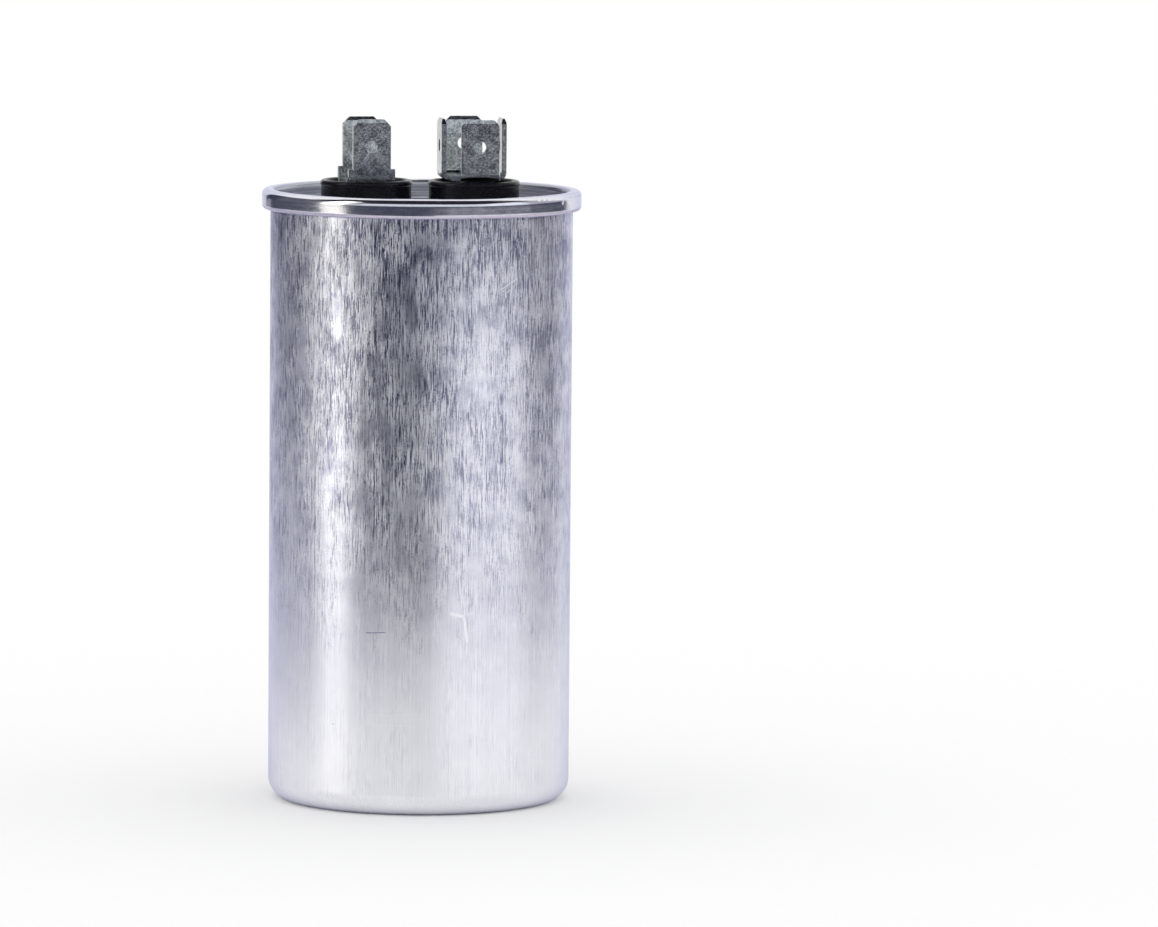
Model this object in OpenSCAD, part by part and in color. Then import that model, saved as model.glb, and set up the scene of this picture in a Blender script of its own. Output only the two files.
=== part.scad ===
// Motor run capacitor: a wound film element in a round drawn can, closed by a double-seamed lid
// that carries two sets of quick-connect tabs in insulating cups. Millimetres, +Z up, and the
// origin is the centre of the can's bottom face. The lid is a single pressed sheet. Its rim and
// the can's rim are folded into each other, so the seam is five layers of sheet lying face to face.

/* [Can] */
// Outer diameter of the can's body
can_d = 50; // [45:0.5:65]
// Height from the bottom face to the top of the seam
case_h = 101.3; // [80:0.1:140]
// Thickness of the can's side wall
wall_t = 0.45; // [0.3:0.05:0.6]
// Thickness of the can's floor
floor_t = 1; // [0.6:0.1:1.5]
// Outer radius of the can's bottom corner
bottom_r = 3.5; // [2:0.1:4.5]

/* [Seam] */
// Thickness of the lid's sheet
lid_t = 0.5; // [0.35:0.05:0.6]
// Height of the double seam
seam_h = 3.3; // [3:0.1:4]
// Outer radius of the two upper edges of the seam
crown_r = 0.8; // [0.65:0.05:1]
// Sealing compound between the can's upper bend and the crown
compound_t = 0.15; // [0.1:0.05:0.25]
// Free space between the end of each hook and the fold it tucks into
hook_gap = 0.1; // [0.05:0.05:0.2]
// How far the seaming rollers press the outside of the can's wall in
press_t = 0.05; // [0.03:0.01:0.1]
// Height over which the wall tapers into the pressed stretch
press_run = 0.8; // [0.7:0.1:1.2]

/* [Lid] */
// Depth of the lid's flat panel below the top of the seam
panel_depth = 3.7; // [2.5:0.1:5]
// Radius where the chuck wall turns into the panel
panel_r = 1; // [0.6:0.1:1.5]
// Distance between the axes of the two terminal posts
post_pitch = 17.8; // [17.7:0.1:19]
// How far the pair of posts stands off the can's axis, along X
post_shift = -0.3; // [-0.5:0.1:0.5]
// Diameter of a raised boss, at half its height
boss_d = 16.8; // [16:0.1:16.9]
// Height of a raised boss above the panel
boss_h = 1; // [0.8:0.1:1.4]
// Radius of the hollow at the foot of a boss
boss_foot_r = 0.4; // [0.2:0.05:0.4]

/* [Insulating cups] */
// Outer diameter of a cup
cup_d = 14.9; // [14.5:0.1:15.5]
// Thickness of a cup's wall
cup_wall = 1; // [0.8:0.1:1.2]
// Height of a cup above its boss
cup_h = 4.25; // [3.5:0.05:5]
// Thickness of a cup's floor
cup_floor = 1.4; // [1.4:0.1:2]
// How far a cup's rounded lip stands out past its wall
cup_lip = 0.15; // [0:0.05:0.3]
// Diameter of the neck that passes down through the lid
neck_d = 5.6; // [5:0.1:6]
// Length of the neck below the lid's sheet
neck_l = 0.8; // [0.5:0.1:1]
// Clearance round the necks, the gaskets and the rivets' shanks, on the radius
fit_gap = 0.1; // [0.05:0.01:0.15]

/* [Seals and rivets] */
// Outer diameter of a rubber gasket
gasket_d = 11; // [9:0.1:12]
// Thickness of a gasket
gasket_t = 0.9; // [0.6:0.05:1]
// Outer diameter of an inner insulating washer
washer_d = 11; // [9:0.1:13]
// Thickness of an inner insulating washer
washer_t = 1.2; // [1.1:0.1:1.6]
// Diameter of a rivet's shank
rivet_d = 3; // [2.5:0.1:3.5]
// Diameter of a rivet's head
rivet_head_d = 6.6; // [5:0.1:7]
// Diameter of a rivet's clenched end
rivet_end_d = 4.8; // [4.2:0.1:5.6]
// Height of a rivet's clenched end
rivet_end_h = 0.8; // [0.6:0.1:1]

/* [Tabs] */
// Width of a quick-connect tab
tab_w = 6.3; // [6.2:0.05:6.4]
// Thickness of the terminals' sheet
tab_t = 0.8; // [0.7:0.05:0.85]
// Diameter of the hole through a tab
tab_hole_d = 2; // [1.6:0.1:2.2]
// Distance from a tab's tip to the centre of its hole
tab_hole_drop = 4.5; // [3.5:0.1:5]
// Length of the thinned end of a tab
tip_l = 0.6; // [0.4:0.1:0.9]
// Thickness left at the very tip of a tab
tip_t = 0.4; // [0.3:0.05:0.5]

/* [Two-tab terminal] */
// Distance between the middles of the two tabs
two_span = 8.6; // [8:0.1:8.8]
// Width of the base and of the shoulders
two_base_w = 7.8; // [7:0.1:8]
// Height of the base's underside above the cup's floor
two_lift = 0.8; // [0.6:0.1:1.2]
// Overall height of the terminal
two_h = 12.2; // [11:0.1:13]
// Height of the shoulders above the base's underside
two_shoulder_h = 4; // [3.5:0.1:4.5]
// Corner chamfer of the tabs
two_chamfer = 1.1; // [0.8:0.1:1.3]
// Inside radius of the bends
two_bend_r = 0.2; // [0.2:0.05:0.4]
// Turn of the terminal about its post, in degrees
two_turn = 12; // [-20:1:20]

/* [Four-tab terminal] */
// Distance between the middles of the left and right tabs
side_span = 10; // [9.5:0.1:10.5]
// Distance between the middles of the front and rear tabs
long_span = 12.6; // [12:0.1:13]
// How far the front tab stands to the right of the base's middle, and the rear tab to the left
four_stagger = 0.6; // [0:0.1:0.8]
// How far the base's middle stands off its post's axis, along X
four_shift = -0.4; // [-0.6:0.1:0.6]
// Height of the base's underside above the cup's floor
four_lift = 3; // [2.8:0.1:4]
// Overall height of the terminal
four_h = 10.1; // [9:0.1:11]
// Corner chamfer of the tabs
four_chamfer = 0.9; // [0.7:0.1:1.2]
// Inside radius of the bends
four_bend_r = 0.4; // [0.3:0.05:0.6]
// Diameter of the locating hole in one corner of the base
index_d = 1.1; // [0.8:0.1:1.2]
// Turn of the terminal about its post, in degrees
four_turn = 7; // [-20:1:20]

/* [Contact lugs and leads] */
// Diameter of a lug's ring
lug_d = 8; // [7:0.1:9]
// Thickness of a lug
lug_t = 0.5; // [0.4:0.05:0.6]
// Reach of a lug's tail from the post's axis
lug_reach = 7.9; // [7:0.1:8]
// Width of the lugs' tails and of the leads
lead_w = 3; // [2.5:0.1:3.5]
// Thickness of a lead strip
lead_t = 0.4; // [0.3:0.05:0.5]
// Length of the flange by which a lead is welded to its lug
lead_top_l = 3; // [2.5:0.1:3.5]
// Length of the top lead's foot on the winding
top_foot_l = 4; // [3:0.1:6]
// Length of the core lead's foot under the winding
core_foot_l = 12; // [10:0.1:16]

/* [Winding] */
// Outer diameter of the core tube
core_d = 10; // [9:0.1:12]
// Wall of the core tube
core_wall = 1.4; // [1:0.1:1.5]
// Thickness of the sprayed metal on each end of the roll
contact_t = 0.7; // [0.4:0.1:1]
// Thickness of the plain film wrapped round the roll
wrap_t = 0.6; // [0.3:0.1:0.6]
// Clearance between the wrapped roll and the wall of the plastic cup
wrap_gap = 0.4; // [0.2:0.05:1]
// Thickness of the insulating disc over the winding
disc_t = 1.2; // [0.8:0.1:2]
// Space from the disc up to the underside of the lid's panel
head_space = 12.5; // [9:0.5:20]
// Depth of the resin over the disc
cover_depth = 2; // [1:0.5:4]

/* [Base cup] */
// Wall of the plastic cup under the winding
base_t = 0.8; // [0.6:0.1:0.9]
// Floor of the plastic cup
base_floor_t = 2; // [1.5:0.1:3]
// Height of the plastic cup
base_h = 13; // [8:0.5:20]
// Clearance between the plastic cup and the can's wall
base_gap = 0.25; // [0.15:0.05:0.3]

/* [Hidden] */
$fn = 96;
// Overshoot of a cut past the face it opens
cut = 1;

// Radii of the seam's layers, from the can's wall outwards
can_r = can_d / 2;
inner_r = can_r - wall_t;
chuck_r = inner_r - lid_t;
press_r = can_r - press_t;
cover_hook_r = press_r + lid_t;
body_hook_r = cover_hook_r + wall_t;
seam_r = body_hook_r + lid_t;

// Heights of the seam's bends and hook ends
fold_r = lid_t + wall_t / 2;
fold_mid_r = (press_r + seam_r) / 2;
seam_z = case_h - seam_h;
fold_z = seam_z + fold_r;
press_z = seam_z + fold_r / 2;
crown_z = case_h - lid_t;
bend_r = (body_hook_r - inner_r) / 2;
bend_mid_r = (inner_r + body_hook_r) / 2;
bend_z = crown_z - compound_t - bend_r;
body_hook_z = fold_z + hook_gap;
cover_hook_z = bend_z - hook_gap;
// The compound stops where its film round the bend gets thin
compound_z = bend_z + bend_r / 3;

// Lid
panel_z = case_h - panel_depth;
panel_in_r = chuck_r - panel_r;
boss_top_r = boss_h - boss_foot_r;
boss_z = panel_z + boss_h;
boss_foot_d = boss_d + 2 * boss_foot_r;
left_x = post_shift - post_pitch / 2;
right_x = post_shift + post_pitch / 2;

// Posts: heights down through the lid
cup_floor_z = boss_z + cup_floor;
neck_z = boss_z - lid_t - neck_l;
washer_z = boss_z - lid_t - washer_t;
lug_z = washer_z - lug_t;
rivet_z = lug_z - rivet_end_h;
bore_d = rivet_d + fit_gap;
neck_hole_d = neck_d + 2 * fit_gap;

// Winding stack, from the can's floor upwards
base_z = floor_t + base_floor_t;
stack_z = base_z + lead_t;
film_z = stack_z + contact_t;
disc_z = panel_z - lid_t - head_space - disc_t;
film_top_z = disc_z - contact_t;
resin_z = disc_z + disc_t + cover_depth;
base_r = inner_r - base_gap;
wrap_r = base_r - base_t - wrap_gap;
winding_r = wrap_r - wrap_t;
core_bore_r = core_d / 2 - core_wall;
top_lead_x = left_x - lug_reach;
core_lead_x = right_x - lug_reach;

// ---- profiles ----

// Rectangle with its two upper corners rounded
module round_top(x0, x1, z0, z1, r) {
    translate([x0, z0]) square([x1 - x0, z1 - z0 - r]);
    translate([x0 + r, z0]) square([x1 - x0 - 2 * r, z1 - z0]);
    for (x = [x0 + r, x1 - r]) translate([x, z1 - r]) circle(r);
}

// Rectangle with its two lower corners rounded
module round_bottom(x0, x1, z0, z1, r) {
    translate([x0, z0 + r]) square([x1 - x0, z1 - z0 - r]);
    translate([x0 + r, z0]) square([x1 - x0 - 2 * r, z1 - z0]);
    for (x = [x0 + r, x1 - r]) translate([x, z0 + r]) circle(r);
}

// Section of a vessel from the axis out to radius r, with a rounded lower corner
module vessel(r, z0, z1, corner) {
    translate([0, z0 + corner]) square([r, z1 - z0 - corner]);
    translate([0, z0]) square([r - corner, z1 - z0]);
    translate([r - corner, z0 + corner]) circle(corner);
}

// Ring of rectangular section
module ring(r_in, r_out, z0, z1) {
    translate([0, 0, z0]) difference() {
        cylinder(r = r_out, h = z1 - z0);
        translate([0, 0, -cut]) cylinder(r = r_in, h = z1 - z0 + 2 * cut);
    }
}

// ---- can and lid ----

// Section of the can: rounded floor, straight wall, the stretch pressed in by the seaming rollers,
// and the body hook turned out and down
module can_section() {
    difference() {
        union() {
            vessel(can_r, 0, press_z - press_run, bottom_r);
            translate([0, press_z - press_run])
                polygon([[0, 0], [can_r, 0], [press_r, press_run], [0, press_run]]);
            translate([0, press_z]) square([press_r, bend_z - press_z]);
            translate([bend_mid_r, bend_z]) intersection() {
                circle(bend_r);
                translate([-bend_r, 0]) square([2 * bend_r, bend_r]);
            }
            translate([cover_hook_r, body_hook_z]) square([wall_t, bend_z - body_hook_z]);
        }
        vessel(inner_r, floor_t, bend_z, bottom_r - floor_t);
        translate([(press_r + cover_hook_r) / 2, bend_z]) circle(lid_t / 2);
    }
}

// Space inside the crown, filled by the can's upper bend and the compound
module crown_space() {
    round_top(inner_r, body_hook_r, bend_z, crown_z, crown_r - lid_t);
}

// Section of the lid's rim: chuck wall, crown, seaming panel, lower fold and cover hook
module lid_rim_section() {
    difference() {
        round_top(chuck_r, seam_r, fold_z, case_h, crown_r);
        crown_space();
        translate([inner_r, fold_z - cut]) square([body_hook_r - inner_r, bend_z - fold_z + cut]);
    }
    difference() {
        translate([fold_mid_r, fold_z]) intersection() {
            circle(fold_r);
            translate([-fold_r, -fold_r]) square([2 * fold_r, fold_r]);
        }
        translate([fold_mid_r, fold_z]) circle(wall_t / 2);
    }
    translate([press_r, fold_z]) square([lid_t, cover_hook_z - fold_z]);
}

// Section of the sunken panel and the bend that leads up into the chuck wall
module lid_panel_section() {
    translate([0, panel_z - lid_t]) square([panel_in_r, lid_t]);
    translate([panel_in_r, panel_z + panel_r]) difference() {
        intersection() {
            circle(panel_r + lid_t);
            translate([0, -panel_r - lid_t]) square(panel_r + lid_t);
        }
        circle(panel_r);
    }
    translate([chuck_r, panel_z + panel_r]) square([lid_t, fold_z + fold_r - panel_z - panel_r]);
}

// Section of one boss about its own axis: a level top, and a side that curves out and then in
module boss_section() {
    foot_r = boss_foot_d / 2;
    side_r = boss_d / 2;
    mid_z = panel_z + boss_foot_r;
    difference() {
        union() {
            translate([0, panel_z - lid_t]) square([foot_r, mid_z - panel_z + lid_t]);
            translate([0, mid_z]) square([side_r - boss_top_r, boss_top_r]);
            translate([side_r - boss_top_r, mid_z]) circle(boss_top_r);
        }
        translate([foot_r, mid_z]) circle(boss_foot_r);
        translate([0, mid_z - cut]) square([side_r - lid_t, cut]);
        translate([0, mid_z - cut]) square([side_r - boss_top_r, cut + boss_top_r - lid_t]);
        translate([side_r - boss_top_r, mid_z]) circle(boss_top_r - lid_t);
        difference() {
            translate([side_r - lid_t - cut, panel_z - lid_t - cut])
                square([boss_foot_r + lid_t + cut, boss_foot_r + lid_t + cut]);
            translate([foot_r, mid_z]) circle(boss_foot_r + lid_t);
        }
    }
}

module can() {
    color("#c6c6d0") rotate_extrude() can_section();
}

module lid() {
    color("#cfcfd6") difference() {
        union() {
            difference() {
                rotate_extrude() union() {
                    lid_rim_section();
                    lid_panel_section();
                }
                for (x = [left_x, right_x])
                    translate([x, 0, panel_z - lid_t - cut]) cylinder(d = boss_foot_d, h = lid_t + 2 * cut);
            }
            for (x = [left_x, right_x]) translate([x, 0, 0]) rotate_extrude() boss_section();
        }
        for (x = [left_x, right_x])
            translate([x, 0, panel_z - cut]) cylinder(d = neck_hole_d, h = boss_h + 2 * cut);
    }
}

// The compound lies between the can's bend and the crown, and thickens into the two corners
module seam_compound() {
    color("#7b4a3a") rotate_extrude() difference() {
        intersection() {
            crown_space();
            translate([inner_r, compound_z]) square([body_hook_r - inner_r, crown_z - compound_z]);
        }
        translate([bend_mid_r, bend_z]) circle(bend_r);
    }
}

// ---- parts of a post ----

// Cup: round-lipped wall, floor with a seat for the gasket below, and a neck through the lid
module cup(x) {
    lip_r = (cup_wall + cup_lip) / 2;
    hollow_r = cup_d / 2 - cup_wall;
    color("#17171a") translate([x, 0, 0]) rotate_extrude() difference() {
        union() {
            translate([0, boss_z]) square([cup_d / 2, cup_h - lip_r]);
            translate([hollow_r + lip_r, boss_z + cup_h - lip_r]) circle(lip_r);
            translate([0, neck_z]) square([neck_d / 2, boss_z - neck_z]);
        }
        translate([0, cup_floor_z]) square([hollow_r, cup_h]);
        translate([0, neck_z - cut]) square([bore_d / 2, cup_floor_z - neck_z + 2 * cut]);
        translate([neck_d / 2, boss_z - cut])
            square([gasket_d / 2 + fit_gap - neck_d / 2, gasket_t + cut]);
    }
}

module gasket(x) {
    color("#3a3a3c") translate([x, 0, 0])
        ring(neck_d / 2 + fit_gap, gasket_d / 2, boss_z, boss_z + gasket_t);
}

// Washer under the lid, bored out above to take the end of the neck
module washer(x) {
    color("#b9a77c") translate([x, 0, 0]) difference() {
        ring(bore_d / 2, washer_d / 2, washer_z, boss_z - lid_t);
        translate([0, 0, neck_z]) cylinder(d = neck_hole_d, h = neck_l + cut);
    }
}

// Rivet: a head that carries the terminal, a shank through the lid, and a clenched end
module rivet(x, head_h) {
    color("#b4b3ad") translate([x, 0, 0]) {
        translate([0, 0, cup_floor_z]) cylinder(d = rivet_head_d, h = head_h);
        translate([0, 0, rivet_z]) cylinder(d = rivet_d, h = cup_floor_z - rivet_z);
        translate([0, 0, rivet_z]) cylinder(d = rivet_end_d, h = rivet_end_h);
    }
}

// Lug: a ring on the rivet with a straight tail
module lug(x) {
    color("#c8b070") translate([x, 0, lug_z]) difference() {
        union() {
            cylinder(d = lug_d, h = lug_t);
            translate([-lug_reach, -lead_w / 2, 0]) cube([lug_reach, lead_w, lug_t]);
        }
        translate([0, 0, -cut]) cylinder(d = bore_d, h = lug_t + 2 * cut);
    }
}

// ---- terminals ----

// Section of a folded strip, seen along its width: a base with one tab up at each end
module folded_section(span, height, inside_r) {
    half = (span + tab_t) / 2;
    bevel = (tab_t - tip_t) / 2;
    difference() {
        round_bottom(-half, half, 0, height, inside_r + tab_t);
        round_bottom(tab_t - half, half - tab_t, tab_t, height + cut, inside_r);
        for (side = [-1, 1]) {
            for (face = [half, half - tab_t]) {
                inward = face == half ? -bevel : bevel;
                polygon([
                    [side * face, height - tip_l],
                    [side * face, height],
                    [side * (face + inward), height]
                ]);
            }
        }
    }
}

// Outline of a tab on a base of width base_w, seen from the front
module tab_outline(base_w, shoulder_h, height, chamfer) {
    polygon([
        [-base_w / 2, 0], [base_w / 2, 0],
        [base_w / 2, shoulder_h], [tab_w / 2, shoulder_h],
        [tab_w / 2, height - chamfer], [tab_w / 2 - chamfer, height],
        [chamfer - tab_w / 2, height], [-tab_w / 2, height - chamfer],
        [-tab_w / 2, shoulder_h], [-base_w / 2, shoulder_h]
    ]);
}

// A folded strip lying along Y, cut to the tabs' outline, with a hole through both tabs
module folded_strip(span, base_w, shoulder_h, height, chamfer, inside_r) {
    reach = span + 2 * tab_t;
    difference() {
        intersection() {
            rotate([90, 0, 90]) translate([0, 0, -base_w / 2]) linear_extrude(base_w)
                folded_section(span, height, inside_r);
            rotate([90, 0, 0]) translate([0, 0, -reach / 2]) linear_extrude(reach)
                tab_outline(base_w, shoulder_h, height, chamfer);
        }
        translate([0, 0, height - tab_hole_drop]) rotate([90, 0, 0])
            cylinder(d = tab_hole_d, h = reach, center = true);
    }
}

module two_tab_terminal() {
    color("#a39f97") translate([left_x, 0, cup_floor_z + two_lift]) rotate([0, 0, two_turn])
        folded_strip(two_span, two_base_w, two_shoulder_h, two_h, two_chamfer, two_bend_r);
}

module four_tab_terminal() {
    flat_x = side_span / 2 - tab_t / 2 - four_bend_r;
    flat_y = long_span / 2 - tab_t / 2 - four_bend_r;
    color("#a8a49b") translate([right_x + four_shift, 0, cup_floor_z + four_lift])
        rotate([0, 0, four_turn]) difference() {
            union() {
                for (side = [-1, 1]) translate([-side * four_stagger, 0, 0]) intersection() {
                    folded_strip(long_span, tab_w, 0, four_h, four_chamfer, four_bend_r);
                    translate([-tab_w, (side - 1) * long_span / 2, 0]) cube([2 * tab_w, long_span, four_h]);
                }
                rotate([0, 0, 90])
                    folded_strip(side_span, tab_w, 0, four_h, four_chamfer, four_bend_r);
                translate([-flat_x, -flat_y, 0]) cube([2 * flat_x, 2 * flat_y, tab_t]);
            }
            translate([flat_x - index_d, index_d - flat_y, -cut]) cylinder(d = index_d, h = tab_t + 2 * cut);
        }
}

// ---- leads and winding ----

// Lead strip: a flange under the lug's tail, a straight web down, and a foot
module lead(x, foot_z, foot_l) {
    translate([x, -lead_w / 2, foot_z]) {
        cube([foot_l, lead_w, lead_t]);
        cube([lead_t, lead_w, lug_z - foot_z]);
        translate([0, 0, lug_z - foot_z - lead_t]) cube([lead_top_l, lead_w, lead_t]);
    }
}

module top_lead() {
    color("#c9c6be") lead(top_lead_x, disc_z, top_foot_l);
}

module core_lead() {
    color("#c9c6be") lead(core_lead_x, base_z, core_foot_l);
}

module top_contact() {
    color("#8f9294") ring(core_d / 2, winding_r, film_top_z, disc_z);
}

module bottom_contact() {
    color("#8f9294") ring(core_d / 2, winding_r, stack_z, film_z);
}

module film_winding() {
    color("#b7bcc0") ring(core_d / 2, winding_r, film_z, film_top_z);
}

module core_tube() {
    color("#e6e2d6") ring(core_bore_r, core_d / 2, stack_z, disc_z);
}

module winding_wrap() {
    color("#d9d3b5") ring(winding_r, wrap_r, stack_z, disc_z);
}

// Plastic cup that stands on the can's floor and follows its rounded corner
module base_cup() {
    color("#ededea") rotate_extrude() difference() {
        vessel(base_r, floor_t, floor_t + base_h, bottom_r - floor_t);
        translate([0, base_z]) square([base_r - base_t, base_h]);
    }
}

// Disc over the winding, with a slot for the top lead's foot and a hole over the core
module top_disc() {
    color("#ede6cf") difference() {
        translate([0, 0, disc_z]) cylinder(r = wrap_r, h = disc_t);
        translate([0, 0, disc_z - cut]) cylinder(r = core_bore_r, h = disc_t + 2 * cut);
        translate([top_lead_x - fit_gap, -lead_w / 2 - fit_gap, disc_z - cut])
            cube([top_foot_l + 2 * fit_gap, lead_w + 2 * fit_gap, disc_t + 2 * cut]);
    }
}

// Resin between the winding and the can, and over the disc, cast round the two leads
module filling() {
    low_z = floor_t + base_h;
    disc_top_z = disc_z + disc_t;
    color("#8a8168") difference() {
        union() {
            ring(wrap_r, inner_r, low_z, disc_top_z);
            translate([0, 0, disc_top_z]) cylinder(r = inner_r, h = resin_z - disc_top_z);
        }
        for (x = [top_lead_x, core_lead_x])
            translate([x, -lead_w / 2, disc_top_z - cut]) cube([lead_t, lead_w, cover_depth + 2 * cut]);
    }
}

// ---- nodes ----

can();
lid();
seam_compound();
cup(left_x);  // two_tab_cup
cup(right_x);  // four_tab_cup
gasket(left_x);  // two_tab_gasket
gasket(right_x);  // four_tab_gasket
washer(left_x);  // two_tab_washer
washer(right_x);  // four_tab_washer
rivet(left_x, two_lift);  // two_tab_rivet
rivet(right_x, four_lift);  // four_tab_rivet
lug(left_x);  // two_tab_lug
lug(right_x);  // four_tab_lug
two_tab_terminal();
four_tab_terminal();
top_lead();
core_lead();
top_contact();
bottom_contact();
film_winding();
core_tube();
winding_wrap();
base_cup();
top_disc();
filling();
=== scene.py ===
# A round motor run capacitor, in the order in which it is put together: the film roll, its leads, the
# can, what the can is filled with, the lid, the seals and cups, and the rivets and terminals. Last
# come the floor, the studio and the camera. Sizes are in metres.

import math

import bpy
from mathutils import Matrix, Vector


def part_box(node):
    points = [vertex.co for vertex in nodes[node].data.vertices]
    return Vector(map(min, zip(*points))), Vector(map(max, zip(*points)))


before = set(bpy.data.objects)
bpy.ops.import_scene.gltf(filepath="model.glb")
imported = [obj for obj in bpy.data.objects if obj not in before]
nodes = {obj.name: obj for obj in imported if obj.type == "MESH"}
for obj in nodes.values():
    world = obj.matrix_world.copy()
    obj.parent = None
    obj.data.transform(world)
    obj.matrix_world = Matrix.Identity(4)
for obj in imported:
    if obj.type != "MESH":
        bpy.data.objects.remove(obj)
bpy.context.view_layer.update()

# ---- film roll ----
# Two metallised plastic films are wound on a plastic core tube and closed by a wrap of plain film.
# Both ends of the roll are sprayed with zinc, which joins all the turns of one film.
mm = 0.001


def put(tree, kind, inputs=None, **settings):
    """Add a node to tree. Inputs maps a socket's name or number to a value or to another socket."""
    made = tree.nodes.new(kind)
    for name, value in settings.items():
        setattr(made, name, value)
    for key, value in (inputs or {}).items():
        if isinstance(value, bpy.types.NodeSocket):
            tree.links.new(value, made.inputs[key])
        else:
            made.inputs[key].default_value = value
    return made


def maths(tree, operation, first, second=0.0):
    return put(tree, "ShaderNodeMath", {0: first, 1: second}, operation=operation).outputs[0]


def ramp(tree, value, low, high, start=0.0, end=1.0):
    """Start below low, end above high, and a smooth step between them."""
    sockets = {"Value": value, "From Min": low, "From Max": high, "To Min": start, "To Max": end}
    made = put(tree, "ShaderNodeMapRange", sockets, interpolation_type="SMOOTHSTEP")
    return made.outputs["Result"]


def blend_colour(tree, share, first, second):
    """First where share is 0 and second where it is 1. Either may be a colour or a socket."""
    made = put(tree, "ShaderNodeMix", {"Factor": share}, data_type="RGBA")
    for socket, value in ((made.inputs[6], first), (made.inputs[7], second)):
        if isinstance(value, bpy.types.NodeSocket):
            tree.links.new(value, socket)
        else:
            socket.default_value = (*value, 1)
    return made.outputs[2]


def grain(tree, size, stretch=(1, 1, 1), detail=2.0, spread=0.5):
    """Noise about zero whose grains are size across. Stretch makes them longer along an axis."""
    where = put(tree, "ShaderNodeTexCoord").outputs["Object"]
    scale = [1 / (size * s) for s in stretch]
    moved = put(tree, "ShaderNodeMapping", {"Vector": where, "Scale": scale}).outputs[0]
    sockets = {"Vector": moved, "Scale": 1.0, "Detail": detail, "Roughness": spread}
    return maths(tree, "SUBTRACT", put(tree, "ShaderNodeTexNoise", sockets).outputs[0], 0.5)


def finish_of(name, metallic):
    """A new material: its tree and its shader."""
    made = bpy.data.materials.new(name)
    made.use_nodes = True
    shader = made.node_tree.nodes["Principled BSDF"]
    shader.inputs["Metallic"].default_value = metallic
    return made, made.node_tree, shader


def plain_finish(name, dark, light, metallic, roughness, size):
    """A finish whose colour wanders between dark and light in grains of one size."""
    made, tree, shader = finish_of(name, metallic)
    tone = ramp(tree, grain(tree, size), -0.25, 0.25)
    tree.links.new(blend_colour(tree, tone, dark, light), shader.inputs["Base Color"])
    shader.inputs["Roughness"].default_value = roughness
    return made


def dress(material, *names):
    for name in names:
        nodes[name].data.materials.clear()
        nodes[name].data.materials.append(material)


pale_plastic = plain_finish("pale_plastic", (0.70, 0.68, 0.62), (0.82, 0.80, 0.75),
                            metallic=0.0, roughness=0.25, size=2 * mm)
sprayed_zinc = plain_finish("sprayed_zinc", (0.25, 0.26, 0.27), (0.42, 0.43, 0.44),
                            metallic=1.0, roughness=0.7, size=0.4 * mm)
dress(pale_plastic, "core_tube", "film_winding", "winding_wrap")
dress(sprayed_zinc, "top_contact", "bottom_contact")

# ---- leads and lugs ----
# Two strips of tinned copper carry the current, one from the top of the roll and one through the
# core from its foot. Each is welded to a brass lug, which its rivet later clenches under the lid.
tinned_copper = plain_finish("tinned_copper", (0.55, 0.54, 0.52), (0.75, 0.74, 0.70),
                             metallic=1.0, roughness=0.3, size=0.5 * mm)
bare_brass = plain_finish("bare_brass", (0.60, 0.45, 0.20), (0.78, 0.62, 0.32),
                          metallic=1.0, roughness=0.3, size=0.6 * mm)
dress(tinned_copper, "top_lead", "core_lead")
dress(bare_brass, "two_tab_lug", "four_tab_lug")

# ---- can ----
# The can is drawn from a disc of soft aluminium, so its wall is covered in short scores that run
# along the draw. They are deepest towards the mouth, where the wall has travelled furthest.
can_radius = 25 * mm
# The scores' dark blue is partly their own colour and partly painted reflection of the dark room
score_and_reflection_colour = (0.25, 0.26, 0.37)
smooth_colour = (0.97, 0.97, 1.0)
# Aluminium reflects a little less, and bluer, where it is seen at a grazing angle
grazing_tint = (0.66, 0.67, 0.82)
# Heights between which the pale foot's painted reflection of the white floor ends, the scores deepen, and
# the wall starts to tear
painted_floor_reflection_fades = (14 * mm, 44 * mm)
scores_deepen = (18 * mm, 70 * mm)
tearing_starts = (80 * mm, 98 * mm)
# Knocks and scratches on the wall, in millimetres. Each has two ends (distance round from the front,
# height), a width, and how much lighter it is than the wall, which is below zero for a dark one.
wall_marks = (
    ((13.2, 86.1), (17.2, 88.2), 0.10, 1.0),
    ((14.3, 85.4), (17.0, 87.4), 0.08, 0.8),
    ((5.0, 33.6), (7.4, 33.0), 0.35, 0.6),
    ((7.4, 33.0), (8.0, 28.6), 0.30, 0.6),
    ((-9.0, 30.2), (-5.4, 30.4), 0.10, -1.0),
    ((-8.1, 16.7), (0.2, 16.9), 0.07, 0.35),
    ((-8.1, 15.2), (-1.0, 15.1), 0.07, 0.3),
    ((-15.0, 14.8), (-14.8, 14.8), 0.12, -1.0),
)


def place_of(tree):
    """The place on the object, as sockets for x, y and height."""
    where = put(tree, "ShaderNodeTexCoord").outputs["Object"]
    return put(tree, "ShaderNodeSeparateXYZ", {0: where}).outputs


def weighted(tree, *terms):
    """The sum of pairs of a socket and its weight."""
    total = 0.0
    for value, weight in terms:
        sockets = {0: value, 1: weight, 2: total}
        total = put(tree, "ShaderNodeMath", sockets, operation="MULTIPLY_ADD").outputs[0]
    return total


def dent(tree, shader, level, depth=1.0):
    """Raise the surface by level times depth."""
    bump = put(tree, "ShaderNodeBump", {"Strength": 1.0, "Distance": depth, "Height": level})
    tree.links.new(bump.outputs[0], shader.inputs["Normal"])


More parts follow.
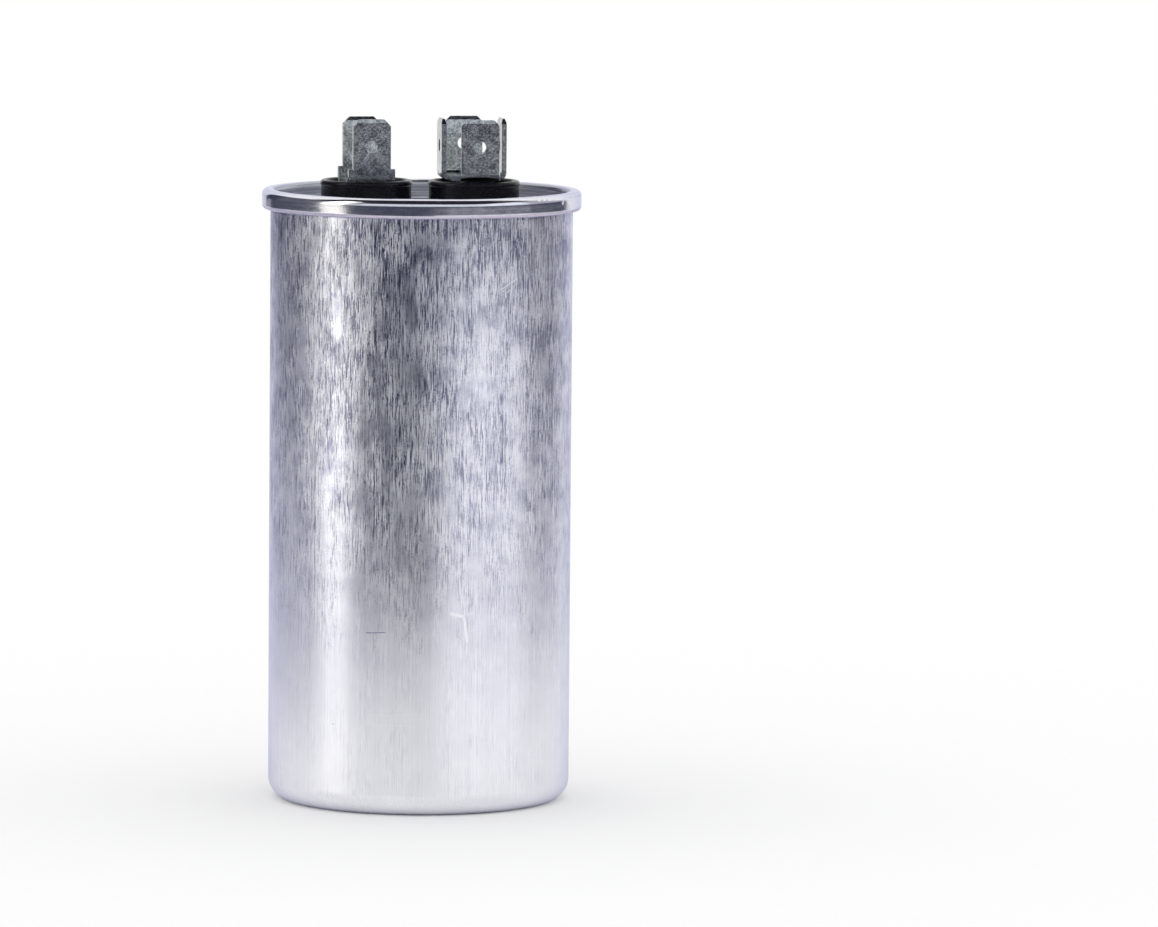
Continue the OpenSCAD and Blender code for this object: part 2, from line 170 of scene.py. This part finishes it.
def mark_on_wall(tree, around, height, start, end, width):
    """One on the line from start to end, nothing away from it. Start, end and width are in mm."""
    run_around = end[0] - start[0]
    run_up = end[1] - start[1]
    length = math.hypot(run_around, run_up)
    along = weighted(tree, (around, run_around / length), (height, run_up / length))
    across = weighted(tree, (around, -run_up / length), (height, run_around / length))
    middle = (start[0] + end[0]) / 2 * run_around / length + (start[1] + end[1]) / 2 * run_up / length
    level = (end[1] * run_around - end[0] * run_up) / length
    off = maths(tree, "ABSOLUTE", maths(tree, "SUBTRACT", across, level * mm))
    past = maths(tree, "ABSOLUTE", maths(tree, "SUBTRACT", along, middle * mm))
    near = ramp(tree, off, width * mm * 0.3, width * mm, 1.0, 0.0)
    between = ramp(tree, past, length * mm * 0.4, length * mm * 0.5, 1.0, 0.0)
    return maths(tree, "MULTIPLY", near, between)


def scored_wall(tree, height):
    """Two sockets: how light or dark the scores make the wall, and the broad patches they lie in."""
    scores = grain(tree, 0.18 * mm, (1, 1, 15), 2.0, 0.6)
    hairs = grain(tree, 0.10 * mm, (1, 1, 24), 1.0, 0.5)
    grit = grain(tree, 0.16 * mm, (1, 1, 1.6), 1.0, 0.5)
    patches = grain(tree, 4.5 * mm, (1.3, 1.3, 1), 5.0, 0.6)
    lines = grain(tree, 0.24 * mm, (1, 1, 160), 2.0, 0.6)
    bunching = ramp(tree, grain(tree, 3.0 * mm, (1, 1, 2.5), 3.0), -0.2, 0.2, 0.2, 1.6)
    worn = ramp(tree, height, *scores_deepen, 0.12, 0.88)
    torn = ramp(tree, height, *tearing_starts, 0.0, 0.4)
    depth = maths(tree, "ADD", worn, torn)
    level = weighted(tree, (scores, 0.9), (hairs, 1.2), (grit, 0.5), (lines, 0.5))
    level = maths(tree, "MULTIPLY", level, bunching)
    level = maths(tree, "MULTIPLY", level, depth)
    return weighted(tree, (level, 1.0), (lines, 0.08)), maths(tree, "MULTIPLY", patches, depth)


def drawn_aluminium():
    made, tree, shader = finish_of("drawn_aluminium", 1.0)
    shader.inputs["Specular Tint"].default_value = (*grazing_tint, 1)
    x, y, height = place_of(tree)
    angle = maths(tree, "ARCTAN2", x, maths(tree, "MULTIPLY", y, -1.0))
    around = maths(tree, "MULTIPLY", angle, can_radius)
    level, patches = scored_wall(tree, height)
    # Painted reflection of the white floor: the wall is lighter, and a little rougher, towards its foot
    painted_floor_reflection = ramp(tree, height, *painted_floor_reflection_fades, 0.09, 0.0)
    marks = []
    for start, end, width, lighter in wall_marks:
        marks.append((mark_on_wall(tree, around, height, start, end, width), lighter))
    level = weighted(tree, (level, 1.0), (painted_floor_reflection, 1.0), (weighted(tree, *marks), 0.4))
    rough = weighted(tree, (level, 1.0), (patches, 0.35))
    tree.links.new(ramp(tree, rough, -0.3, 0.3, 0.21, 0.36), shader.inputs["Roughness"])
    level = weighted(tree, (level, 1.0), (patches, 0.75))
    # The dark end of this blend is partly painted reflection of the dark room in the scores
    colour = blend_colour(tree, ramp(tree, level, -0.28, 0.18), score_and_reflection_colour, smooth_colour)
    tree.links.new(colour, shader.inputs["Base Color"])
    dent(tree, shader, level, 0.03 * mm)
    return made


dress(drawn_aluminium(), "can")

# ---- base cup, disc and filling ----
# A plastic cup keeps the roll off the can's floor and wall, and a disc of board lies on the roll.
# Soft resin is cast round the roll and over the disc, with an air space left under the lid.
insulating_board = plain_finish("insulating_board", (0.55, 0.44, 0.27), (0.70, 0.60, 0.42),
                                metallic=0.0, roughness=0.7, size=0.8 * mm)
cast_resin = plain_finish("cast_resin", (0.16, 0.13, 0.08), (0.28, 0.24, 0.16),
                          metallic=0.0, roughness=0.4, size=3 * mm)
dress(pale_plastic, "base_cup")
dress(insulating_board, "top_disc")
dress(cast_resin, "filling")

# ---- lid and seam ----
# The lid is pressed from aluminium sheet. A chuck and two rollers fold its rim with the can's into
# the double seam, over a ring of rubber compound, and they leave a bright rolled band outside and
# fine turning lines on the wall inside.
lid_colour = (0.86, 0.86, 0.89)
# Painted shade on the downward-facing lip under the rolled band
lip_shade_colour = (0.58, 0.53, 0.63)
ring_colour = (0.48, 0.50, 0.50)
seam_height = 3.3 * mm
seam_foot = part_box("lid")[1][2] - seam_height
# Distances out from the axis between which the panel turns up into the inner wall, that wall turns
# out into the crown, and the crown turns down into the rolled band
wall_starts = (22.4 * mm, 23.2 * mm)
wall_ends = (24.4 * mm, 24.8 * mm)
band_starts = (25.6 * mm, 25.8 * mm)
# Heights between which the rougher lip at the band's foot ends, its bright part ends, and the band
# rounds over into the crown. The lip's darker mauve colour is painted shade.
lip_ends = (seam_foot + 0.45 * mm, seam_foot + 0.75 * mm)
bright_ends = (seam_foot + 2.4 * mm, seam_foot + 2.8 * mm)
rounding = (seam_foot + 2.05 * mm, seam_foot + seam_height)
# Small nicks that handling has left in the band: the place of each and its size
seam_nicks = (
    ((22.9 * mm, -12.7 * mm, seam_foot + 2.1 * mm), 0.5 * mm),
    ((17.9 * mm, -19.0 * mm, seam_foot + 1.5 * mm), 0.3 * mm),
    ((18.3 * mm, -18.6 * mm, seam_foot + 1.3 * mm), 0.25 * mm),
)


def nicks_in_band(tree):
    """One in each nick, nothing away from them."""
    where = put(tree, "ShaderNodeTexCoord").outputs["Object"]
    total = 0.0
    for place, size in seam_nicks:
        off = put(tree, "ShaderNodeVectorMath", {0: where, 1: place}, operation="DISTANCE")
        nick = ramp(tree, off.outputs["Value"], size * 0.3, size, 1.0, 0.0)
        total = maths(tree, "ADD", total, nick)
    return total


def pressed_aluminium():
    made, tree, shader = finish_of("pressed_aluminium", 1.0)
    shader.inputs["Specular Tint"].default_value = (*grazing_tint, 1)
    x, y, height = place_of(tree)
    x_squared = maths(tree, "MULTIPLY", x, x)
    y_squared = maths(tree, "MULTIPLY", y, y)
    out = maths(tree, "SQRT", weighted(tree, (x_squared, 1.0), (y_squared, 1.0)))
    inside = ramp(tree, out, *wall_ends, 1.0, 0.0)
    outside = ramp(tree, out, *band_starts)
    inner_wall = maths(tree, "MULTIPLY", inside, ramp(tree, out, *wall_starts))
    # The turning lines are rings, so they change only with the distance out and the height
    travel = maths(tree, "SUBTRACT", out, height)
    sockets = {"W": travel, "Scale": 1 / (0.3 * mm), "Detail": 3.0}
    turning = put(tree, "ShaderNodeTexNoise", sockets, noise_dimensions="1D").outputs[0]
    rings = maths(tree, "MULTIPLY", inner_wall, ramp(tree, turning, 0.38, 0.60))
    smear = grain(tree, 0.6 * mm, (3, 3, 1), 3.0)
    nicks = nicks_in_band(tree)
    lip = maths(tree, "MULTIPLY", outside, ramp(tree, height, *lip_ends, 1.0, 0.0))
    bright = maths(tree, "MULTIPLY", outside, ramp(tree, height, *bright_ends, 1.0, 0.0))
    tone = weighted(tree, (lip, 1.0), (smear, 0.3))
    # The lip's darker mauve colour is painted shade under the band
    colour = blend_colour(tree, tone, lid_colour, lip_shade_colour)
    colour = blend_colour(tree, rings, colour, ring_colour)
    tree.links.new(colour, shader.inputs["Base Color"])
    rough = weighted(tree, (turning, 0.10), (inside, 0.18), (smear, 0.15), (bright, 0.04), (lip, 0.12),
                     (nicks, 0.3))
    tree.links.new(maths(tree, "ADD", rough, 0.08), shader.inputs["Roughness"])
    # The rollers round the band's top a little more than the solid is, so the light bends more there
    bow = maths(tree, "MULTIPLY", ramp(tree, height, *rounding, 1.0, 0.0), outside)
    turned = maths(tree, "MULTIPLY", turning, inside)
    relief = weighted(tree, (turning, 0.006 * mm), (turned, 0.06 * mm), (smear, 0.003 * mm),
                      (bow, 0.28 * mm), (nicks, 0.06 * mm))
    dent(tree, shader, relief)
    return made


rubber = plain_finish("rubber", (0.02, 0.02, 0.02), (0.05, 0.05, 0.05),
                      metallic=0.0, roughness=0.6, size=0.5 * mm)
dress(pressed_aluminium(), "lid")
dress(rubber, "seam_compound")

# ---- insulating cups, gaskets and washers ----
# Each cup is a black thermoset moulding, semi-gloss from its mould, and its neck goes down through
# a boss of the lid. A rubber gasket seals it above, and a washer of board takes its neck below.
cup_black = (0.004, 0.004, 0.006)
cup_bloom = (0.009, 0.009, 0.013)


def black_moulding():
    made, tree, shader = finish_of("black_moulding", 0.0)
    cloud = grain(tree, 0.2 * mm, detail=3.0)
    colour = blend_colour(tree, ramp(tree, cloud, -0.2, 0.2), cup_black, cup_bloom)
    tree.links.new(colour, shader.inputs["Base Color"])
    tree.links.new(ramp(tree, cloud, -0.2, 0.2, 0.22, 0.28), shader.inputs["Roughness"])
    shader.inputs["Specular IOR Level"].default_value = 0.24
    dent(tree, shader, cloud, 0.001 * mm)
    return made


dress(black_moulding(), "two_tab_cup", "four_tab_cup")
dress(rubber, "two_tab_gasket", "four_tab_gasket")
dress(insulating_board, "two_tab_washer", "four_tab_washer")

# ---- rivets and terminals ----
# The terminals are blanked from tinned brass sheet and folded up. The tin is dull and fine-grained,
# and the blanked edges are rounded a little. Each terminal sits on the head of its rivet.
dull_tin = (0.24, 0.26, 0.28)
bright_tin = (0.74, 0.76, 0.74)
blanked_edge = 0.1 * mm
terminal_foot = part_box("four_tab_terminal")[0][2]
# Folded legs spring back a little, which tips the light on their faces. These are the slopes of the
# faces that look in at the post and of those that look out.
spring_inside = -0.14
spring_outside = 0.014


def tinned_brass():
    made, tree, shader = finish_of("tinned_brass", 1.0)
    fine = grain(tree, 0.34 * mm, detail=3.0, spread=0.75)
    wide = grain(tree, 1.2 * mm, detail=3.0)
    mottle = weighted(tree, (fine, 1.0), (wide, 0.5))
    colour = blend_colour(tree, ramp(tree, mottle, -0.16, 0.16), dull_tin, bright_tin)
    tree.links.new(colour, shader.inputs["Base Color"])
    tree.links.new(ramp(tree, mottle, -0.25, 0.25, 0.14, 0.24), shader.inputs["Roughness"])
    _, y, height = place_of(tree)
    normal = put(tree, "ShaderNodeNewGeometry").outputs["True Normal"]
    facing = put(tree, "ShaderNodeSeparateXYZ", {0: normal}).outputs[1]
    looks_out = maths(tree, "MULTIPLY", y, facing)
    slope = ramp(tree, looks_out, -0.8 * mm, 0.8 * mm, spring_inside, spring_outside)
    spring = maths(tree, "MULTIPLY", maths(tree, "SUBTRACT", height, terminal_foot), slope)
    dent(tree, shader, weighted(tree, (fine, 0.02 * mm), (wide, 0.01 * mm), (spring, 1.0)))
    return made


dress(tinned_brass(), "two_tab_terminal", "four_tab_terminal", "two_tab_rivet", "four_tab_rivet")
for name in ("two_tab_terminal", "four_tab_terminal"):
    joined = nodes[name].modifiers.new("joined_faces", "WELD")
    joined.merge_threshold = 0.0005 * mm
    rounded = nodes[name].modifiers.new("rounded_edges", "BEVEL")
    rounded.width = blanked_edge
    rounded.segments = 2
    rounded.angle_limit = math.radians(35)

# ---- floor, studio and camera ----
# The capacitor stands on a white floor in a white room. Boards lie and stand round it, out of view
# and without a shadow, so that the polished metal has dark to show between the lights. A strip
# light at the left makes the bright upright line on the can.


def lying(height, *places):
    return [(x, y, height) for x, y in places]


def upright(x0, y0, x1, y1, low, high):
    return [(x0, y0, low), (x1, y1, low), (x1, y1, high), (x0, y0, high)]


def sheet(name, corners, colour, glow=0.0):
    """A flat stage sheet with a plain matt finish. Glow makes it a light panel."""
    mesh = bpy.data.meshes.new(name)
    mesh.from_pydata(corners, [], [tuple(range(len(corners)))])
    made = bpy.data.objects.new(name, mesh)
    bpy.context.scene.collection.objects.link(made)
    finish, _, shader = finish_of(name, 0.0)
    shader.inputs["Base Color"].default_value = (*colour, 1)
    shader.inputs["Roughness"].default_value = 1.0
    shader.inputs["Specular IOR Level"].default_value = 0.0
    if glow:
        shader.inputs["Emission Color"].default_value = (*colour, 1)
        shader.inputs["Emission Strength"].default_value = glow
    mesh.materials.append(finish)
    return made


def board(name, corners, colour, glow=0.0):
    """A sheet that shows only in what is polished."""
    made = sheet(name, corners, colour, glow)
    made.visible_camera = False
    made.visible_diffuse = False
    made.visible_shadow = False
    return made


def fade(piece, near, far, near_colour, far_colour):
    """Make a board's colour change with the distance from the middle of the floor."""
    tree = piece.data.materials[0].node_tree
    where = put(tree, "ShaderNodeTexCoord").outputs["Object"]
    out = put(tree, "ShaderNodeVectorMath", {0: where}, operation="LENGTH").outputs["Value"]
    colour = blend_colour(tree, ramp(tree, out, near, far), near_colour, far_colour)
    tree.links.new(colour, tree.nodes["Principled BSDF"].inputs["Base Color"])


# Half the width of the floor
floor_half = 8
sheet("white_floor", lying(0, (-floor_half, -floor_half), (floor_half, -floor_half),
                           (floor_half, floor_half), (-floor_half, floor_half)), (1.0, 1.0, 1.0))

black = (0.05, 0.055, 0.085)
# How far the walls stand from the middle, the height at which their dark foot ends, and the ceiling
reach = 2.4
sill = 0.42
ceiling = 2.2
# Where the stretches of the side walls end, from the front to the back
left_turn = -0.6
right_turn = -0.2
side_rear = 1.9
left_far = 4.5
# The boards on the floor lie just over it and leave it white round the can. The black one in front
# and the pale one on the right meet along the line between two corners.
just_over = 0.002
front_edge = -0.23
near_corner = (0.033, front_edge)
far_corner = (0.33, -reach)

board("floor_front", lying(just_over, (-reach, -reach), far_corner, near_corner,
                           (-reach, front_edge)), black)
floor_left = board("floor_left", lying(just_over, (-reach, front_edge), (-0.1, front_edge), (-0.1, 0.12),
                                       (-0.9, 1.07), (-0.59, 1.1), (-reach, left_far)), black)
fade(floor_left, 0.3, 1.1, (0.68, 0.68, 0.76), black)
floor_right = board("floor_right", lying(just_over, near_corner, far_corner, (reach, -reach),
                                         (reach, side_rear), (0.2, 0.16)), black)
fade(floor_right, 0.25, 1.2, (0.80, 0.80, 0.85), black)

board("low_left", upright(-reach, -reach, -reach, left_turn, 0, sill), black)
board("low_front", upright(-reach, -reach, reach, -reach, 0, sill), black)
board("low_right", upright(reach, -reach, reach, side_rear, 0, sill), black)
board("wall_left", upright(-reach, left_turn, -reach, side_rear, 0, ceiling), (0.11, 0.115, 0.15))
board("wall_left_rear", upright(-reach, side_rear, -reach, left_far, 0, ceiling), black)
board("light_left", upright(-reach, -reach, -reach, left_turn, sill, ceiling), (0.45, 0.48, 0.54))
board("light_front", upright(-reach, -reach, reach, -reach, sill, ceiling), (0.70, 0.74, 0.82))
board("light_right", upright(reach, -reach, reach, right_turn, sill, ceiling), (0.88, 0.90, 1.0))
board("light_right_rear", upright(reach, right_turn, reach, side_rear, sill, ceiling), (0.42, 0.42, 0.48))
board("ceiling", lying(ceiling, (-reach, -reach), (reach, -reach), (reach, 0.7), (-reach, 0.7)),
      (0.02, 0.02, 0.03))

# The strip light is wider and brighter at its foot, and plain card where the seam reflects it
warm_white = (1.0, 0.98, 0.93)
wide_strip = (-0.4426, -0.0986, -0.3764, -0.2634)
narrow_strip = (-0.4360, -0.1150, -0.3830, -0.2470)
board("strip_light_low", upright(*wide_strip, 0.012, 0.048), warm_white, 3.4)
board("strip_light_middle", upright(*narrow_strip, 0.045, 0.115), (0.74, 0.73, 0.70))
board("strip_light_high", upright(*narrow_strip, 0.115, 0.7), warm_white, 1.3)
board("white_card", upright(0.053, -0.162, 0.167, -0.030, 0.003, 0.084), (0.93, 0.94, 1.0))

sky = bpy.data.worlds.new("white_room")
sky.use_nodes = True
sky.node_tree.nodes["Background"].inputs["Color"].default_value = (1, 1, 1, 1)
sky.node_tree.nodes["Background"].inputs["Strength"].default_value = 1.0
scene = bpy.context.scene
scene.world = sky
scene.view_settings.view_transform = "Standard"

# The camera stands far off with a long lens, a little above the tabs, and looks slightly down
camera_distance = 1.3543
camera_height = 0.19186
turn = math.radians(1.114)
tilt = math.radians(5.734)
roll = math.radians(0.461)
camera_data = bpy.data.cameras.new("camera")
camera_data.sensor_width = 36
camera_data.lens = 255.13
camera = bpy.data.objects.new("camera", camera_data)
scene.collection.objects.link(camera)
camera.matrix_world = (
    Matrix.Translation((0, -camera_distance, camera_height))
    @ Matrix.Rotation(-turn, 4, "Z")
    @ Matrix.Rotation(math.pi / 2 - tilt, 4, "X")
    @ Matrix.Rotation(roll, 4, "Z")
)
scene.camera = camera
